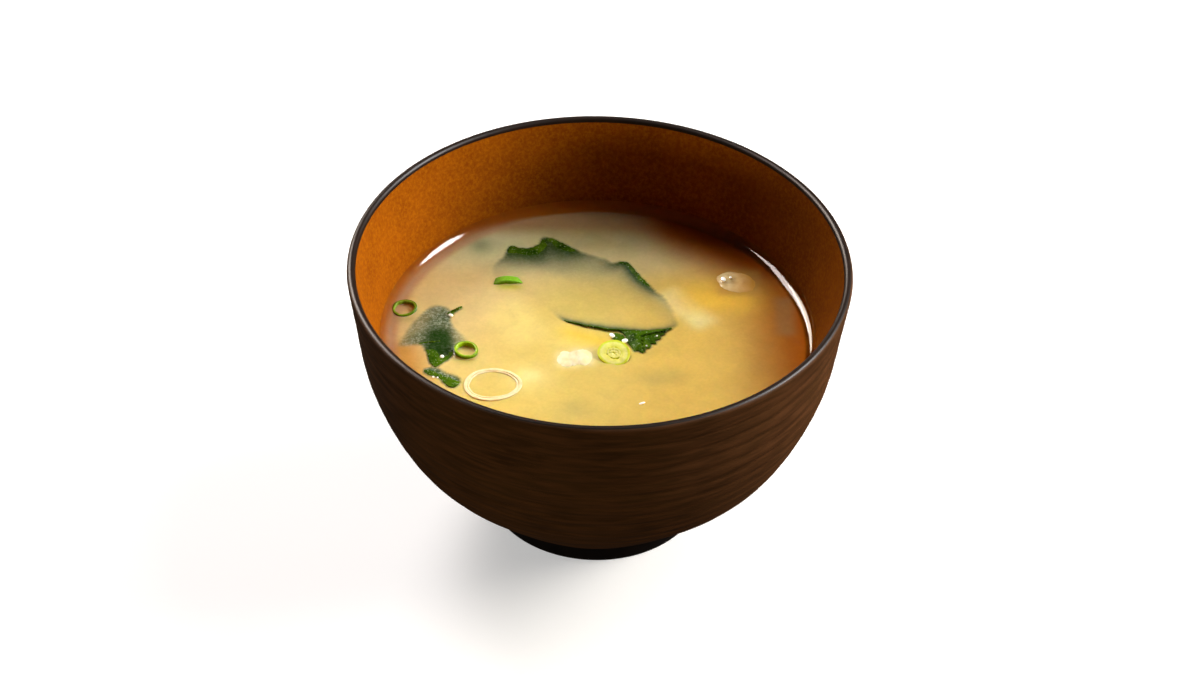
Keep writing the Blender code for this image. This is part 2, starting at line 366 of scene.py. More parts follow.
def foot_points():
    """The foot ring and the shallow recess under the bowl, with rounded edges."""
    def corner(middle_radius, middle_height, first, last):
        turns = np.radians(np.linspace(first, last, 6))
        return [
            (middle_radius + FOOT_ROUNDING * math.cos(turn), middle_height + FOOT_ROUNDING * math.sin(turn))
            for turn in turns
        ]

    side = [(FOOT_TOP_RADIUS, FOOT_HEIGHT), (FOOT_TOP_RADIUS - 0.45 * MM, FOOT_HEIGHT - 1.6 * MM)]
    outer = corner(FOOT_RADIUS - FOOT_ROUNDING, FOOT_ROUNDING, 0, -90)
    inner = corner(FOOT_INNER_RADIUS + FOOT_ROUNDING, FOOT_ROUNDING, -90, -180)
    hollow = [
        (FOOT_INNER_RADIUS - FOOT_ROUNDING * turn, RECESS_DEPTH - FOOT_ROUNDING * (1 - turn))
        for turn in (0.0, 0.5, 1.0)
    ]
    return np.array(side + outer + inner + hollow + [(10 * MM, RECESS_DEPTH), (0.0, RECESS_DEPTH)])


def add_bowl():
    """The turned bowl: amber inside, a black lip, soft ridges round the outside and a black foot."""
    inner = wall_points(INNER_WALL, INNER_POINTS)[::-1]
    lip = lip_points()
    outer = wall_points(OUTER_WALL, OUTER_POINTS)[1:]
    foot = foot_points()
    profile = np.vstack((inner[:-1], lip, outer, foot))
    first_lip = len(inner) - 2  # counted in rings, which leave out the point on the axis
    first_outer = first_lip + len(lip)
    first_foot = first_outer + len(outer)
    down = np.concatenate(([0.0], np.cumsum(np.hypot(*np.diff(profile[1:-1], axis=0).T))))
    down -= down[first_outer]

    def relief(ring, angle):
        """Soft turned ridges with narrow grooves between them, a little uneven as on a hand lathe."""
        along = down[ring] + 0.45 * MM * np.sin(down[ring] / (7.3 * MM)) + 0.12 * MM * np.sin(angle + 1.0)
        wave = 1 - np.abs(np.sin(math.pi * along / RIDGE_PITCH))
        uneven = 1 + 0.25 * np.sin(2 * angle + down[ring] / (5 * MM))
        on_wall = (ring >= first_outer) & (ring < first_foot)
        fade = np.clip(down[ring] / (3 * MM), 0, 1)
        return -RIDGE_DEPTH * wave**1.6 * uneven * on_wall * fade

    def band_of(ring):
        if ring < first_lip:
            return 0
        if ring < first_lip + 10:
            return 1
        return 2 if ring < first_foot else 3

    mesh = revolve("lacquer_bowl", profile, BOWL_STEPS, relief, band_of)
    bowl = add_object(
        "lacquer_bowl", mesh,
        inner_lacquer(), plain_lacquer("lip_lacquer", paint(22, 13, 8), paint(32, 20, 13), 0.38, 0.14), outer_lacquer(),
        plain_lacquer("foot_lacquer", paint(10, 7, 5), paint(20, 13, 9), 0.5, 0.3),
    )
    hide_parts("bowl")
    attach(bowl, BODY)


# ---------------------------------------------------------------- garnish

# Leaves: (x, y, height of the edge above the soup, how far the edge's height reaches inwards), all in mm
LARGE_LEAF = (
    (-25.4, 25.8, -1.5, 16.0), (-23.0, 30.0, -0.2, 19.0), (-21.8, 33.8, 0.2, 19.0), (-19.2, 33.2, 0.2, 19.0),
    (-17.2, 33.2, 0.2, 20.0), (-14.8, 35.0, 0.16, 21.0), (-14.0, 37.4, -0.1, 21.0), (-11.8, 37.4, 0.1, 21.0),
    (-9.0, 35.4, 0.14, 22.0), (-6.4, 33.4, 0.1, 22.0), (-4.0, 31.9, -0.3, 19.0), (-1.4, 30.9, -0.8, 15.0),
    (1.2, 29.8, -0.9, 12.0), (3.0, 28.2, -0.4, 9.0), (4.3, 28.9, 0.2, 7.5), (6.2, 28.9, 0.26, 7.0),
    (7.6, 27.1, 0.26, 7.0), (9.3, 24.1, 0.24, 7.0), (11.2, 21.2, 0.16, 7.0), (12.8, 18.7, -0.15, 6.0),
    (15.3, 15.6, -0.9, 6.0), (17.0, 11.8, -1.6, 6.0), (17.8, 8.2, -1.9, 5.0), (18.4, 5.6, -0.6, 4.0),
    (16.6, 4.4, 0.0, 1.6), (13.2, 3.2, 0.4, 2.0), (9.0, 2.7, 0.55, 2.7), (4.8, 3.0, 0.6, 3.2),
    (0.6, 3.5, 0.6, 3.2), (-2.9, 4.3, 0.54, 2.8), (-5.8, 5.3, 0.4, 2.6), (-8.6, 6.8, 0.05, 1.8),
    (-12.4, 10.6, -4.0, 4.0), (-19.0, 16.6, -3.8, 8.0), (-24.4, 21.0, -2.6, 13.0),
)
LARGE_LEAF_MIDDLE = (-1.0, 14.5, -4.4)
FLAP = (
    (5.0, 3.5, 0.3, 1.5), (7.6, 3.0, 0.4, 1.5), (10.4, 2.9, 0.45, 1.5), (13.4, 3.5, 0.4, 1.5), (16.9, 4.4, 0.2, 1.5),
    (16.1, 3.4, 0.2, 1.2), (15.0, 3.0, 0.2, 1.0), (15.5, 2.1, 0.2, 1.0), (14.3, 1.5, 0.2, 1.0), (14.6, 0.4, 0.2, 1.0),
    (13.3, -0.1, 0.2, 1.0), (13.4, -1.3, 0.2, 1.0), (12.2, -1.5, 0.2, 1.0), (12.0, -2.9, 0.2, 1.0),
    (10.9, -3.3, 0.2, 1.0), (10.4, -4.8, 0.2, 1.0), (9.4, -3.9, 0.2, 1.0), (8.4, -4.1, 0.2, 1.0),
    (7.6, -2.5, 0.2, 1.5), (6.6, -0.9, 0.2, 1.5), (6.2, 1.2, 0.2, 1.5),
)
FLAP_MIDDLE = (10.0, 0.6, 0.75)
FOLD = (
    (2.9, 1.5, 0.3, 1.0), (4.2, 1.9, 0.35, 1.0), (5.6, 1.2, 0.35, 1.0), (6.6, -0.1, 0.35, 1.0), (6.1, -0.9, 0.3, 1.0),
    (4.7, -0.8, 0.3, 1.0), (3.3, 0.1, 0.3, 1.0),
)
FOLD_MIDDLE = (4.8, 0.4, 0.55)
LEFT_LEAF = (
    (-46.0, -4.4, -1.5, 4.6), (-45.0, -0.6, -1.05, 4.6), (-43.4, 3.6, -0.85, 5.0), (-41.6, 7.0, -0.75, 5.4),
    (-39.6, 9.8, -0.8, 5.4), (-37.6, 10.6, -0.75, 5.0), (-35.4, 9.4, -0.4, 4.4), (-34.7, 7.2, 0.0, 4.0),
    (-34.6, 4.8, -0.3, 3.0), (-33.4, 2.2, -0.9, 2.6), (-31.0, -0.8, -1.6, 2.6), (-30.6, -2.8, -1.6, 2.6),
    (-32.8, -5.4, 0.05, 2.0), (-34.2, -8.4, 0.12, 2.0), (-35.9, -10.2, 0.12, 2.0), (-37.2, -11.5, 0.08, 2.0),
    (-38.5, -9.8, 0.2, 2.0), (-39.2, -7.4, 0.15, 2.0), (-40.0, -4.9, 0.0, 2.5), (-41.4, -3.3, -0.25, 3.4),
    (-43.2, -3.6, -0.8, 4.0),
)
LEFT_LEAF_MIDDLE = (-36.4, -2.2, -0.12)
SPIKE = (
    (-35.6, 7.6, 0.1, 1.0), (-34.6, 8.6, 0.25, 1.0), (-33.4, 9.5, 0.35, 1.0), (-32.1, 10.3, 0.45, 1.0),
    (-33.2, 9.1, 0.35, 1.0), (-34.3, 7.7, 0.25, 1.0),
)
SPIKE_MIDDLE = (-34.2, 8.3, 0.4)
SMALL_LEAF = (
    (-39.7, -12.8, 0.05, 1.5), (-38.4, -11.9, -0.1, 1.5), (-36.8, -11.8, -0.5, 1.5), (-35.0, -13.4, -0.6, 1.5),
    (-33.0, -14.3, -0.6, 1.5), (-31.5, -15.5, -0.1, 1.5), (-31.5, -17.4, 0.2, 1.5), (-32.9, -18.6, 0.25, 1.5),
    (-34.6, -17.4, 0.25, 1.5), (-35.8, -15.6, 0.2, 1.5), (-37.2, -14.8, 0.2, 1.5), (-38.8, -14.2, 0.15, 1.5),
)
SMALL_LEAF_MIDDLE = (-35.2, -14.9, 0.0)
LEAF_THICKNESS = 0.35 * MM

# Rings: middle on the soup, size across x and y, wall, height over the soup, length, tilt, turn and lean's heading
RINGS = {
    "scallion_ring_rim": dict(at=(-45.6, 9.0), size=(5.4, 5.2), wall=0.65, top=0.6, length=2.4, tilt=8, heading=250),
    "scallion_ring_left": dict(at=(-30.4, -5.9), size=(5.2, 5.1), wall=0.62, top=0.95, length=2.4, tilt=6, heading=300),
    "scallion_ring_tilted": dict(at=(-21.1, 19.4), size=(8.4, 3.8), wall=1.0, top=-1.15, length=2.4, tilt=82, heading=276),
}


def level_noise(x, y, size, seed):
    """Smooth noise of about -1 to 1 over the soup's plane; size is the feature size."""
    return noise.noise(Vector((x / size, y / size, seed)))


def closed_loop(stations, count):
    return np.array([closed_curve_point(stations, i / count) for i in range(count)])


def leaf_mesh(name, lobes, spacing=0.3, ragged=0.2, wrinkle=0.1):
    """Thin wavy lobes as one open mesh. Each lobe is an outline of stations, a middle, and a seed."""
    made = bmesh.new()
    for stations, middle, seed in lobes:
        length = np.hypot(*np.diff(np.array([*stations, stations[0]])[:, :2], axis=0).T).sum()
        count = int(length / spacing)
        loop = closed_loop(stations, count)
        ahead = np.roll(loop, -1, axis=0)[:, :2] - np.roll(loop, 1, axis=0)[:, :2]
        outwards = np.column_stack((ahead[:, 1], -ahead[:, 0])) / np.hypot(*ahead.T)[:, None]
        for i, (x, y) in enumerate(loop[:, :2].tolist()):
            teeth = level_noise(x, y, 1.3, seed) + 0.6 * level_noise(x, y, 0.55, seed + 3)
            loop[i, :2] += outwards[i] * ragged * teeth
        shares = np.concatenate((np.linspace(0, 0.24, 14), np.linspace(0.24, 1, 26)[1:-1]))
        rings = []
        for share in shares:
            flat = loop[:, :2] + (np.array(middle[:2]) - loop[:, :2]) * share
            distance = np.hypot(*(flat[:, None] - loop[None, :, :2]).transpose(2, 0, 1))
            inwards = distance.min(axis=1)
            weight = np.exp((inwards[:, None] - distance) / 1.2)
            edge, fall = (weight @ loop[:, 2:]).T / weight.sum(axis=1)
            height = middle[2] + (edge - middle[2]) * np.exp(-((inwards / fall) ** 1.5))
            settle = np.minimum(1.0, inwards / 1.2)
            ring = []
            for (x, y), z, calm in zip(flat.tolist(), height.tolist(), settle.tolist()):
                z += calm * wrinkle * (level_noise(x, y, 1.1, seed + 7) + 2.2 * level_noise(x, y, 4.0, seed + 9))
                ring.append(made.verts.new((x * MM, y * MM, LEVEL + z * MM)))
            rings.append(ring)
        tip = made.verts.new((middle[0] * MM, middle[1] * MM, LEVEL + middle[2] * MM))
        for outer, inner in zip(rings, rings[1:]):
            for i in range(count):
                j = (i + 1) % count
                made.faces.new((outer[i], outer[j], inner[j], inner[i]))
        for i in range(count):
            made.faces.new((rings[-1][i], rings[-1][(i + 1) % count], tip))
    bmesh.ops.recalc_face_normals(made, faces=made.faces)
    mesh = bpy.data.meshes.new(name)
    made.to_mesh(mesh)
    made.free()
    if sum(polygon.normal.z for polygon in mesh.polygons) < 0:
        mesh.flip_normals()
    mesh.shade_smooth()
    return mesh


def add_garnish(name, mesh, node, slot, *finishes):
    piece = add_object(name, mesh, *finishes)
    if node is not None:
        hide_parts(node)
    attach(piece, BODY)
    return piece


def add_leaf(node, lobes, finish, **shape):
    """A leaf, given its thickness; also the tree that tells how deep it lies under each point."""
    mesh = leaf_mesh(node + "_leaf", lobes, **shape)
    depth_tree = BVHTree.FromPolygons([vertex.co.copy() for vertex in mesh.vertices],
                                      [tuple(polygon.vertices) for polygon in mesh.polygons])
    piece = add_garnish(node + "_leaf", mesh, node, "wakame", finish)
    thicken = piece.modifiers.new("thickness", "SOLIDIFY")
    thicken.thickness = LEAF_THICKNESS
    thicken.offset = -1.0
    thicken.use_quality_normals = True
    return depth_tree


def ring_band(made, size, wall, top, bottom, layers, shrink=0.0, seed=0.0, steps=150, flare=0.06):
    """One closed tube wall in its own frame, with its axis up; layers is the attribute from 0, skin, to 1, inside."""
    rounding = min(0.32 * wall, 0.16)
    section = []
    for middle_x, middle_z, first in ((wall - rounding, top - rounding, 0), (rounding, top - rounding, 90),
                                      (rounding, bottom + rounding, 180), (wall - rounding, bottom + rounding, 270)):
        for turn in np.radians(np.linspace(first, first + 90, 6)):
            section.append((middle_x + rounding * math.cos(turn), middle_z + rounding * math.sin(turn)))
    rings = []
    for i in range(steps):
        angle = math.tau * i / steps
        out = np.array((math.cos(angle), math.sin(angle)))
        radius_x, radius_y = size[0] / 2 - shrink, size[1] / 2 - shrink
        wobble = 1 + 0.035 * math.sin(2 * angle + seed) + 0.018 * math.sin(3 * angle + 2 * seed)
        thick = 1 + 0.22 * level_noise(3 * out[0], 3 * out[1], 1.0, seed)
        lift = 0.12 * level_noise(2 * out[0], 2 * out[1], 1.0, seed + 5)
        ring = []
        for across, height in section:
            inset = (wall - across) * thick
            flaring = 1 + flare * (height - bottom) / (top - bottom)
            x = out[0] * (radius_x * wobble * flaring - inset)
            y = out[1] * (radius_y * wobble * flaring - inset)
            vertex = made.verts.new((x * MM, y * MM, (height + lift * (height - bottom) / (top - bottom)) * MM))
            vertex[layers] = 1 - across / wall
            ring.append(vertex)
        rings.append(ring)
    count = len(section)
    for i in range(steps):
        here, there = rings[i], rings[(i + 1) % steps]
        for j in range(count):
            k = (j + 1) % count
            made.faces.new((here[j], there[j], there[k], here[k]))


def ring_mesh(name, bands, at, top, tilt, heading):
    """A ring of one or more tube walls, leaning by tilt degrees towards the heading, at its place on the soup."""
    made = bmesh.new()
    layers = made.verts.layers.float.new("layer")
    for band in bands:
        ring_band(made, layers=layers, **band)
    bmesh.ops.recalc_face_normals(made, faces=made.faces)
    lean = math.radians(heading)
    turn = Matrix.Rotation(math.radians(tilt), 4, Vector((-math.sin(lean), math.cos(lean), 0)))
    place = Matrix.Translation((at[0] * MM, at[1] * MM, LEVEL + top * MM))
    bmesh.ops.transform(made, matrix=place @ turn, verts=made.verts)
    mesh = bpy.data.meshes.new(name)
    made.to_mesh(mesh)
    made.free()
    mesh.shade_smooth()
    return mesh


def lump_mesh(name, lobes, roughness, seed, detail=5):
    """Soft lumps: each lobe is (x, y, height over the soup, half sizes) in mm, pushed about by noise."""
    made = bmesh.new()
    for x, y, z, half_x, half_y, half_z, turn in lobes:
        created = bmesh.ops.create_icosphere(made, subdivisions=detail, radius=1.0)
        spin = Matrix.Rotation(math.radians(turn), 3, "Z")
        for vertex in created["verts"]:
            bulge = 1 + roughness * noise.noise(vertex.co * 1.7 + Vector((x, y, seed)))
            bulge += 0.35 * roughness * noise.noise(vertex.co * 5.0 + Vector((x, y, seed)))
            point = spin @ Vector((vertex.co.x * half_x, vertex.co.y * half_y, vertex.co.z * half_z)) * bulge
            vertex.co = (Vector((x, y, z)) + point) * MM + Vector((0, 0, LEVEL))
    mesh = bpy.data.meshes.new(name)
    made.to_mesh(mesh)
    made.free()
    mesh.shade_smooth()
    return mesh


def wakame():
    """Wet dark green seaweed, olive where it is thin, with fine wrinkles and pale specks that are painted glints."""
    finish = Finish("wakame", roughness=0.35)
    finish.set("Specular IOR Level", 0.012)
    clouds = finish.noise(3.5 * MM, detail=4)
    base = finish.ramp(clouds, (0.3, paint(30, 58, 2)), (0.47, paint(55, 88, 5)), (0.68, paint(84, 114, 14)))
    veins = finish.noise(0.7 * MM, detail=3, roughness=0.6)
    veined = finish.mix(finish.ramp(veins, (0.52, 0.0), (0.75, 0.6)), base, paint(92, 118, 30))
    # Pale specks: painted glints on the wet surface
    specks = finish.ramp(finish.noise(0.5 * MM, detail=2), (0.6, 0.0), (0.7, 0.6))
    finish.link(finish.mix(specks, veined, paint(150, 168, 122)), "Base Color")
    finish.bump(finish.noise(0.6 * MM, detail=3), 0.06 * MM)
    return finish.material


def scallion(name, skin, flesh, core, skin_share=0.28, shade=paint(214, 222, 200)):
    """A cut green stalk: skin outside, paler flesh across the cut, and its own green inside."""
    finish = Finish(name, roughness=0.2, subsurface_weight=0.3, subsurface_scale=0.0008)
    finish.set("Specular IOR Level", 0.25)
    finish.set("Subsurface Radius", (0.6, 1.0, 0.3))
    layer = finish.attribute("layer").outputs["Fac"]
    across = finish.ramp(layer, (0.0, skin), (skin_share, skin), (min(2 * skin_share, 0.6), flesh), (1.0, core))
    fibres = finish.noise(0.5 * MM, detail=3, stretch=(1.0, 1.0, 0.25))
    shaded = finish.ramp(fibres, (0.3, shade), (0.7, paint(255, 255, 255)))
    finish.link(finish.mix(1.0, across, shaded, "MULTIPLY"), "Base Color")
    finish.bump(fibres, 0.03 * MM)
    return finish.material


def pale_flesh(name, light, deep, roughness=0.3, specks=0.35, fade=None):
    """Cream flesh of leek and onion: soft, faintly fibrous and slightly see-through.

    fade is (start, end, colour): the colour it turns to along X."""
    finish = Finish(name, roughness=roughness, subsurface_weight=0.3, subsurface_scale=0.001)
    finish.set("Specular IOR Level", 0.2)
    finish.set("Subsurface Radius", (1.0, 0.8, 0.4))
    clouds = finish.noise(1.6 * MM, detail=4)
    base = finish.ramp(clouds, (0.35, deep), (0.65, light))
    if fade is not None:
        base = finish.mix(finish.along_x(*fade[:2]), base, fade[2])
    fibres = finish.noise(0.35 * MM, detail=3, roughness=0.7)
    finish.link(finish.mix(finish.ramp(fibres, (0.5, 0.0), (0.8, specks)), base, deep), "Base Color")
    finish.bump(fibres, 0.04 * MM)
    return finish.material


def glint():
    """Painted glints: milky white blobs with a faint glow of their own, standing in for highlights on the wet leaves,
    the onion and the broth.
    """
    finish = Finish("painted_glint", roughness=0.05, coat_weight=1.0, coat_roughness=0.02)
    finish.set("Emission Color", paint(255, 246, 228))
    finish.set("Emission Strength", 0.5)
    milk = finish.noise(0.4 * MM, detail=2)
    finish.link(finish.ramp(milk, (0.3, paint(250, 246, 230)), (0.7, paint(255, 255, 250))), "Base Color")
    return finish.material


def tofu():
    finish = Finish("tofu", roughness=0.5, subsurface_weight=0.6, subsurface_scale=0.003)
    curd = finish.noise(1.2 * MM, detail=4)
    finish.link(finish.ramp(curd, (0.3, paint(238, 226, 190)), (0.7, paint(252, 244, 216))), "Base Color")
    finish.bump(curd, 0.08 * MM)
    return finish.material


# Tofu cubes under the surface: middle x, y, depth of the top, half length, half width, turn, and how much it glows
TOFU = (
    (20.6, 12.0, 0.7, 8.0, 3.2, -50, 1.0),
    (-19.6, 5.6, 1.3, 8.0, 5.0, -58, 0.42),
    (-4.2, 0.6, 1.6, 6.5, 4.5, -12, 0.42),
    (-15.6, -14.2, 1.5, 5.0, 4.0, 15, 0.36),
)
TOFU_HEIGHT = 9.0


def tofu_mesh():
    made = bmesh.new()
    for x, y, depth, half_length, half_width, turn, _ in TOFU:
        block = bmesh.new()
        bmesh.ops.create_cube(block, size=2.0)
        bmesh.ops.scale(block, vec=(half_length, half_width, TOFU_HEIGHT / 2), verts=block.verts)
        bmesh.ops.bevel(block, geom=block.edges[:], offset=0.8, segments=3, affect="EDGES")
        bmesh.ops.subdivide_edges(block, edges=block.edges[:], cuts=4, use_grid_fill=True)
        for vertex in block.verts:
            vertex.co += vertex.co.normalized() * 0.25 * noise.noise(vertex.co * 0.6 + Vector((x, y, 0)))
        spin = Matrix.Rotation(math.radians(turn), 4, "Z")
        place = Matrix.Translation((x * MM, y * MM, LEVEL - (depth + TOFU_HEIGHT / 2) * MM))
        bmesh.ops.transform(block, matrix=place @ spin @ Matrix.Scale(MM, 4), verts=block.verts)
        part = bpy.data.meshes.new("tofu_part")
        block.to_mesh(part)
        block.free()
        made.from_mesh(part)
        bpy.data.meshes.remove(part)
    mesh = bpy.data.meshes.new("tofu_cubes")
    made.to_mesh(mesh)
    made.free()
    mesh.shade_smooth()
    return mesh


def add_garnishes():
    """All that floats or is sunk, and the painted glints. Returns the trees of what darkens the broth above it."""
    weed = wakame()
    trees = [
        add_leaf("wakame_large", [(LARGE_LEAF, LARGE_LEAF_MIDDLE, 1.0), (FLAP, FLAP_MIDDLE, 2.0), (FOLD, FOLD_MIDDLE, 6.0)], weed,
                 ragged=0.28, wrinkle=0.045),
        add_leaf("wakame_left", [(LEFT_LEAF, LEFT_LEAF_MIDDLE, 3.0), (SPIKE, SPIKE_MIDDLE, 4.0)], weed,
                 ragged=0.22, wrinkle=0.09),
        add_leaf("wakame_small", [(SMALL_LEAF, SMALL_LEAF_MIDDLE, 5.0)], weed, ragged=0.18, wrinkle=0.14),
    ]
    greens = {
        "scallion_ring_rim": scallion("scallion_dark", paint(92, 126, 16), paint(146, 176, 52), paint(128, 160, 44)),
        "scallion_ring_left": scallion("scallion_bright", paint(112, 154, 8), paint(170, 200, 44), paint(164, 198, 16)),
        "scallion_ring_tilted": scallion("scallion_fresh", paint(140, 200, 50), paint(120, 172, 26), paint(120, 170, 40)),
    }
    for seed, (node, ring) in enumerate(RINGS.items()):
        bands = [dict(size=ring["size"], wall=ring["wall"], top=0.0, bottom=-ring["length"], seed=1.7 * seed + 0.4)]
        mesh = ring_mesh(node + "_cut", bands, ring["at"], ring["top"], ring["tilt"], ring["heading"])
        add_garnish(node + "_cut", mesh, node, "scallion_green", greens[node])

    pale = scallion("scallion_pale", paint(222, 228, 60), paint(246, 244, 150), paint(244, 240, 96), skin_share=0.2,
                    shade=paint(242, 244, 226))
    bands = [
        dict(size=(7.0, 7.3), wall=2.1, top=0.0, bottom=-2.0, seed=2.2),
        dict(size=(3.3, 3.1), wall=0.7, top=0.03, bottom=-2.0, seed=3.1),
        dict(size=(2.5, 2.3), wall=1.1, top=-0.04, bottom=-1.8, seed=4.0),
    ]
    add_garnish("scallion_ring_pale_cut", ring_mesh("scallion_ring_pale_cut", bands, (3.7, -5.7), 0.75, 13, 270),
                "scallion_ring_pale", "scallion_pale", pale)

    cream = pale_flesh("leek_flesh", paint(243, 223, 175), paint(233, 208, 152))
    bands = [
        dict(size=(13.0, 11.6), wall=0.82, top=0.0, bottom=-1.2, seed=0.7, steps=220, flare=0.0),
        dict(size=(11.3, 9.9), wall=0.5, top=-0.06, bottom=-1.2, seed=1.0, steps=220, flare=0.0),
    ]
    add_garnish("leek_ring_cut", ring_mesh("leek_ring_cut", bands, (-23.8, -17.2), 0.22, 0, 0),
                "leek_ring", "leek_white", cream)
    lobes = [(-3.6, -6.6, -0.72, 3.3, 4.5, 0.98, 10), (-7.1, -7.6, -0.72, 3.4, 4.3, 0.95, -10),
             (-5.3, -7.1, -0.74, 3.4, 4.3, 0.98, 0)]
    soft = pale_flesh("leek_heart", paint(252, 238, 192), paint(246, 224, 162))
    add_garnish("leek_slice_lump", lump_mesh("leek_slice_lump", lobes, 0.14, 3.0), "leek_slice", "leek_white", soft)

    # Painted shade: the onion turns darker amber towards +X, where the wall's shadow falls on it.
    clear = pale_flesh("onion_flesh", paint(255, 222, 158), paint(240, 198, 130), roughness=0.08, specks=0.1,
                       fade=(30.6 * MM, 36.4 * MM, paint(222, 160, 70)))
    lobes = [(32.8, 22.2, -1.02, 6.6, 5.5, 1.4, -28), (30.6, 23.0, -0.6, 2.6, 2.8, 1.1, 0)]
    add_garnish("onion_slice_lump", lump_mesh("onion_slice_lump", lobes, 0.12, 5.0), "onion_slice", "onion_clear", clear)
    add_garnish("tofu_cubes", tofu_mesh(), None, "tofu", tofu())

    # Painted glints on the leaves, the onion and the broth: x, y, height over the soup, half sizes, turn
    painted_glints = [
        (3.2, 1.0, 0.35, 0.55, 0.8, 0.4, 35), (6.2, -0.9, 0.4, 0.75, 0.55, 0.4, 20), (13.6, 0.9, 0.62, 0.2, 0.2, 0.15, 0),
        (11.2, -2.6, 0.5, 0.22, 0.18, 0.15, 0), (-34.6, 6.9, 0.35, 0.6, 0.35, 0.3, -20),
        (-35.8, -8.2, 0.4, 0.48, 0.45, 0.3, 0), (-37.4, -15.4, 0.3, 0.3, 0.25, 0.2, 0), (-36.4, -15.5, 0.3, 0.2, 0.2, 0.15, 0),
        (29.4, 22.7, 0.6, 0.55, 0.85, 0.25, 20), (31.1, 23.4, 0.62, 0.3, 0.35, 0.15, 0), (10.3, -22.3, 0.0, 0.8, 0.32, 0.12, 25),
    ]
    add_garnish("painted_glints", lump_mesh("painted_glints", painted_glints, 0.15, 8.0, detail=3), None, "leek_white", glint())
    return trees


# ---------------------------------------------------------------- soup

BROTH = paint(221, 197, 109)
PALE_BROTH = paint(233, 209, 145)
GREY_BROTH = paint(214, 216, 166)
# Painted shadow: the brown the broth turns at the back, where the back wall shades it
BACK_SHADOW_BROTH = paint(170, 122, 84)
# Amber of clear broth over the wall, and partly painted shade on the right
AMBER_BROTH_AND_SHADE = paint(182, 92, 4)
GOLDEN_BROTH = paint(255, 206, 78)
# Painted light: a brighter broth for a patch where more light should fall
PAINTED_LIGHT_BROTH = paint(250, 212, 108)
YELLOW_BROTH = paint(246, 206, 44)
ORANGE_BROTH = paint(206, 150, 62)
DULL_BROTH = paint(214, 182, 104)
WARM_BROTH = paint(236, 150, 36)
AMBER_WALL = paint(172, 94, 14)
AMBER_SHADE = paint(112, 56, 4)
AMBER_DARK = paint(128, 66, 22)
TOFU_GLOW = paint(255, 242, 166)
WEED = paint(52, 80, 18)
WEED_DEEP = paint(30, 60, 6)
WEED_VEIL = paint(92, 113, 94)
CLOUD_EDGE = paint(182, 136, 104)
# Paler spots where something lies just under the surface: middle x, y, half sizes, colour, share
SOFT_SPOTS = (
    (43.6, 10.0, 2.2, 7.0, paint(176, 126, 72), 0.85),
    (-6.9, -7.7, 2.7, 2.7, paint(250, 234, 172), 0.85),
    (-3.3, -6.6, 2.7, 3.1, paint(250, 234, 172), 0.85),
    (32.9, 22.1, 5.2, 4.8, paint(216, 160, 80), 0.8),
    (-21.3, 18.5, 2.9, 0.9, paint(200, 192, 36), 0.85),
    (-45.4, 5.6, 2.2, 0.8, paint(130, 140, 80), 0.5),
    (-30.8, -9.0, 2.2, 0.7, paint(150, 168, 40), 0.5),
    (-15.4, -13.6, 2.2, 1.8, paint(255, 240, 168), 0.5),
)
VEIL_DEPTHS = (0.42, 1.35)  # mm: how fast the dark of a leaf, then its grey-green haze, is lost under the broth


def soup_profile():
    """The flat surface, the meniscus climbing the wall, then down just inside the wall's skin."""
    flat = np.arange(0, MENISCUS_START, SOUP_RING_SPACING)
    contact = inner_radius(LEVEL + MENISCUS_RISE)
    climb = np.linspace(MENISCUS_START, contact, 22)
    rise = MENISCUS_RISE * np.exp((climb - contact) / MENISCUS_FALL_OFF)
    rise -= rise[0] * (1 - (climb - MENISCUS_START) / (contact - MENISCUS_START))
    top = [(radius, LEVEL) for radius in flat] + list(zip(climb, LEVEL + rise))
    steep = MENISCUS_RISE / MENISCUS_FALL_OFF
    top += [(contact + reach, LEVEL + MENISCUS_RISE + steep * reach) for reach in (0.1 * MM, 0.2 * MM)]
    heights = np.linspace(LEVEL + MENISCUS_RISE - 0.2 * MM, INNER_CURVE[-1, 1] + 1 * MM, 24)
    side = [(inner_radius(height) + WALL_REACH, height) for height in heights]
    return np.array(top + side + [(0.0, INNER_CURVE[-1, 1] - WALL_REACH)])


def smooth(value, low, high):
    """0 below low, 1 above high, with a soft change between."""
    share = np.clip((value - low) / (high - low), 0, 1)
    return share * share * (3 - 2 * share)


def soft_block(x, y, middle_x, middle_y, half_length, half_width, turn, blur):
    """1 inside a turned rectangle, 0 outside, soft by blur."""
    a = math.radians(turn)
    along = (x - middle_x) * math.cos(a) + (y - middle_y) * math.sin(a)
    across = (y - middle_y) * math.cos(a) - (x - middle_x) * math.sin(a)
    inside_length = 1 / (1 + np.exp((np.abs(along) - half_length) / blur))
    inside_width = 1 / (1 + np.exp((np.abs(across) - half_width) / blur))
    return inside_length * inside_width


def towards(colours, goal, share):
    return colours + (np.array(goal) - colours) * share[:, None]


def veil(x, y, trees):
    """How much of a leaf's dark and of its haze shows at each point: leaves lie under a scattering broth."""
    dark, haze = np.zeros(len(x)), np.zeros(len(x))
    offsets = [(0.0, 0.0)] + [(0.45 * math.cos(a), 0.45 * math.sin(a)) for a in np.arange(6) * math.tau / 6]
    down = Vector((0, 0, -1))
    for tree in trees:
        for i in np.flatnonzero(np.hypot(x, y) < MENISCUS_START / MM):
            shares = [0.0, 0.0]
            for dx, dy in offsets:
                hit = tree.ray_cast(Vector(((x[i] + dx) * MM, (y[i] + dy) * MM, LEVEL + 3 * MM)), down)[0]
                if hit is not None:
                    depth = max(0.0, (LEVEL - hit.z) / MM)
                    shares[0] += math.exp(-depth / VEIL_DEPTHS[0]) / len(offsets)
                    shares[1] += math.exp(-depth / VEIL_DEPTHS[1]) / len(offsets)
            dark[i] = max(dark[i], shares[0])
            haze[i] = max(haze[i], shares[1])
    return dark, haze


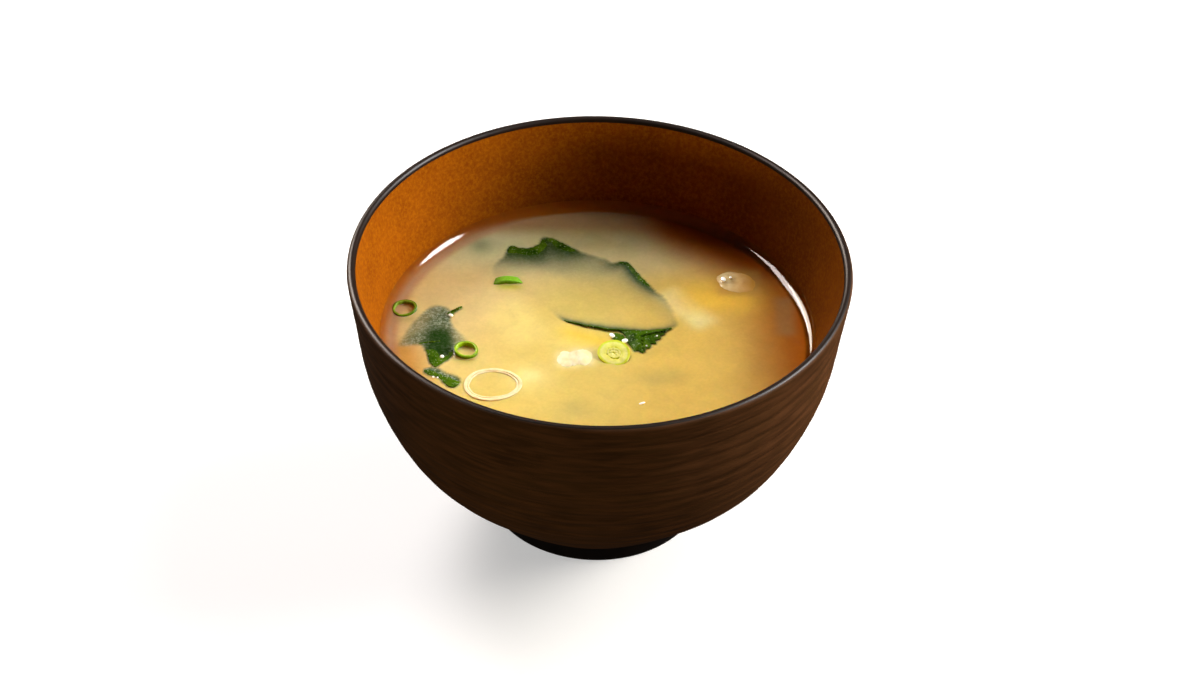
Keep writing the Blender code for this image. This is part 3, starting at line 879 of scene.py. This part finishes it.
def broth_colours(x, y, trees):
    """What shows at each point of the surface: clear edges over amber, glowing tofu, veiled leaves, and painted shade
    at the back and right with a painted pool of light right of the middle.
    """
    radius = np.hypot(x, y)
    colours = np.tile(BROTH, (len(x), 1))
    colours = towards(colours, PALE_BROTH, smooth(-x * 0.8 + y * 0.6, 5, 35) * smooth(radius, 10, 30))
    colours = towards(colours, GREY_BROTH, 0.95 * smooth(y, 20, 33))
    # Painted shadow at the back of the broth, under the back wall
    colours = towards(colours, BACK_SHADOW_BROTH, 0.8 * smooth(y, 36, 43))
    # Painted light: a brighter patch right of the middle, in place of more lamp light there
    colours = towards(colours, PAINTED_LIGHT_BROTH, soft_block(x, y, 22.0, -8.0, 13.0, 24.0, 0, 4.0))
    colours = towards(colours, PALE_BROTH, 0.75 * soft_block(x, y, 0.0, 31.0, 15.0, 7.0, 0, 3.0))
    for middle_x, middle_y, depth, half_length, half_width, turn, glow in TOFU:
        block = soft_block(x, y, middle_x, middle_y, half_length, half_width, turn, 0.9 * depth)
        colours = towards(colours, TOFU_GLOW, glow * block)
    colours = towards(colours, YELLOW_BROTH, 0.75 * soft_block(x, y, -2.6, 0.4, 7.0, 2.8, -20, 1.3))
    colours = towards(colours, YELLOW_BROTH, 0.15 * soft_block(x, y, -19.6, 5.6, 7.0, 4.0, -58, 1.5))
    colours = towards(colours, DULL_BROTH, 0.4 * soft_block(x, y, -27.0, -1.5, 3.0, 6.0, 0, 2.5))
    colours = towards(colours, WARM_BROTH, 0.38 * soft_block(x, y, 26.0, 26.0, 10.0, 10.0, 0, 5.0))
    low_left = smooth(radius, 37, 45) * smooth(-x, 29, 37) * smooth(-y, 0, 6)
    colours = towards(colours, ORANGE_BROTH, 0.8 * low_left)
    # Partly painted shade: the broth turns amber towards the right and back right, as clear broth over the amber wall
    # and as the wall's shade.
    right = smooth(x * 0.98 + y * 0.1, 22, 49)
    back_right = smooth(x * 0.55 + y * 0.83, 30, 45) * smooth(x, 3, 19)
    colours = towards(colours, AMBER_BROTH_AND_SHADE, np.maximum(right, back_right))
    colours = towards(colours, GOLDEN_BROTH, soft_block(x, y, 28.0, 16.0, 8.6, 4.4, 0, 1.9))
    left = (1 - smooth(x, -40, -20)) * np.exp(-(MENISCUS_START / MM - radius).clip(0) / 2.2)
    colours = towards(colours, AMBER_WALL, 0.35 * left)
    for blur_x, blur_y, size, share in ((-29.0, 34.2, 2.3, 0.6), (-5.3, -25.3, 2.4, 0.18), (13.2, -14.1, 2.6, 0.22),
                                        (17.8, -12.2, 2.0, 0.15)):
        spot = np.exp(-((x - blur_x) ** 2 + (y - blur_y) ** 2) / (2 * size**2))
        colours = towards(colours, WEED_VEIL, share * spot)
    for spot_x, spot_y, half_x, half_y, tint, share in SOFT_SPOTS:
        colours = towards(colours, tint, share * soft_block(x, y, spot_x, spot_y, half_x, half_y, 0, 0.5))
    dark, haze = veil(x, y, trees)
    colours = towards(colours, WEED_VEIL, haze)
    colours = towards(colours, WEED, dark)
    heart = smooth(haze, 0.3, 0.7) * smooth(soft_block(x, y, -36.8, -2.8, 3.3, 5.6, 0, 0.9), 0.1, 0.9)
    colours = towards(colours, WEED_DEEP, heart)
    cloudy_left = smooth(-x, 10, 34)
    clear_start = MENISCUS_START / MM - 0.1 + 0.3 * cloudy_left
    clear_edge = smooth(radius, clear_start, clear_start + 0.9 + 1.6 * cloudy_left)
    colours = towards(colours, CLOUD_EDGE, 0.8 * cloudy_left * smooth(radius, 45.6, 48.0))
    frost = haze * (1 - 0.9 * heart) * (1 - clear_edge) * (0.15 + 0.85 * smooth(-x, 25, 29))
    colours = towards(colours, AMBER_WALL, clear_edge)
    colours = towards(colours, AMBER_DARK, 0.7 * clear_edge * cloudy_left)
    return towards(colours, AMBER_SHADE, clear_edge * smooth(x, 20, 42)), frost, 1 - heart


def add_soup(trees):
    mesh = revolve("miso_soup", soup_profile(), SOUP_STEPS)
    count = len(mesh.vertices)
    place = np.empty(count * 3)
    mesh.vertices.foreach_get("co", place)
    place = place.reshape(-1, 3)
    radius = np.hypot(place[:, 0], place[:, 1])
    seen, haze, glow = broth_colours(place[:, 0] / MM, place[:, 1] / MM, trees)
    cloudiness = 1 - CLEAR_SHARE * smooth(radius, MENISCUS_START - 0.3 * MM, MENISCUS_START + 0.5 * MM)

    colours = mesh.color_attributes.new("seen", "FLOAT_COLOR", "POINT")
    colours.data.foreach_set("color", np.column_stack((seen, np.ones(count))).ravel())
    for name, values in (("cloudiness", cloudiness), ("haze", haze), ("glow", glow)):
        mesh.attributes.new(name, "FLOAT", "POINT").data.foreach_set("value", values)
    soup = add_object("miso_soup", mesh, broth())
    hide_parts("soup")
    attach(soup, BODY)


# ---------------------------------------------------------------- studio


def direction(azimuth, elevation):
    """A unit vector; azimuth is counted from +X towards +Y, in degrees."""
    a, e = math.radians(azimuth), math.radians(elevation)
    return Vector((math.cos(a) * math.cos(e), math.sin(a) * math.cos(e), math.sin(e)))


def add_softbox(name, azimuth, elevation, distance, width, height, power, colour, diffuse=True, gloss=True,
                shape="RECTANGLE", turn=0):
    """A lamp that faces the soup, turned by some degrees about its own middle."""
    lamp = bpy.data.lights.new(name, "AREA")
    lamp.shape = shape
    lamp.size, lamp.size_y = width, height
    lamp.energy = power
    lamp.color = colour
    made = bpy.data.objects.new(name, lamp)
    bpy.context.scene.collection.objects.link(made)
    towards = direction(azimuth, elevation)
    made.location = Vector((0, 0, LEVEL)) + towards * distance
    facing = towards.to_track_quat("Z", "Y").to_matrix() @ Matrix.Rotation(math.radians(turn), 3, "Z")
    made.rotation_euler = facing.to_euler()
    made.visible_diffuse = diffuse
    made.visible_glossy = gloss
    made.visible_camera = False
    return made


def add_floor():
    """A pale floor that curves up into a backdrop all round, far outside the lamps."""
    finish = Finish("floor", base_color=paint(214, 212, 210), roughness=0.9)
    finish.set("Emission Color", paint(255, 255, 255))
    finish.set("Emission Strength", 0.45)
    steps = 96
    rings = [(4.0 + math.sin(turn), 1.0 - math.cos(turn)) for turn in np.linspace(0, math.pi / 2, 9)] + [(5.0, 4.0)]
    turns = np.arange(steps) * math.tau / steps
    points = [(radius * math.cos(turn), radius * math.sin(turn), height) for radius, height in rings for turn in turns]
    faces = [tuple(range(steps))]
    for ring in range(len(rings) - 1):
        first = ring * steps
        for step in range(steps):
            beside = (step + 1) % steps
            faces.append((first + step, first + beside, first + steps + beside, first + steps + step))
    mesh = bpy.data.meshes.new("floor")
    mesh.from_pydata(points, [], faces)
    floor = add_object("floor", mesh, finish.material)
    floor.visible_diffuse = False
    floor.visible_glossy = False


def add_studio():
    scene = bpy.context.scene
    scene.view_settings.view_transform = "Standard"
    world = bpy.data.worlds.new("studio")
    world.use_nodes = True
    background = world.node_tree.nodes["Background"]
    background.inputs["Color"].default_value = (*paint(255, 252, 248), 1.0)
    background.inputs["Strength"].default_value = 0.02
    scene.world = world
    add_softbox("side", 12, 20, 1.2, 0.8, 0.4, 34, paint(255, 250, 242), gloss=False)
    add_softbox("top", 20, 50, 1.2, 0.4, 0.4, 4.6, paint(255, 250, 242), gloss=False)
    add_softbox("window", 117, 35, 1.2, 0.55, 0.45, 18.0, paint(255, 250, 250), gloss=False)
    add_softbox("side_gloss", 12, 42, 1.2, 0.8, 0.42, 47, (1, 1, 1), diffuse=False, shape="ELLIPSE", turn=41)
    add_softbox("window_gloss", 141.5, 43, 1.4, 1.0, 0.42, 38, paint(252, 236, 230), diffuse=False)
    add_softbox("window_gloss_low", 132, 30, 1.4, 0.74, 0.62, 29, paint(255, 240, 222), diffuse=False, shape="ELLIPSE")
    add_softbox("front", -110, 3, 1.2, 1.2, 0.1, 5.6, paint(255, 248, 225), gloss=False)


def add_camera():
    data = bpy.data.cameras.new("camera")
    data.lens = CAMERA_LENS
    data.sensor_width = 36.0
    data.clip_end = 30.0
    camera = bpy.data.objects.new("camera", data)
    bpy.context.scene.collection.objects.link(camera)
    back = Vector((0, -math.cos(CAMERA_PITCH), math.sin(CAMERA_PITCH)))
    camera.matrix_world = (
        Matrix.Translation(CAMERA_AIM + back * CAMERA_DISTANCE)
        @ Matrix.Rotation(math.pi / 2 - CAMERA_PITCH, 4, "X")
        @ Matrix.Rotation(CAMERA_ROLL, 4, "Z")
    )
    bpy.context.scene.camera = camera


add_camera()
add_studio()
add_floor()
add_bowl()
add_soup(add_garnishes())
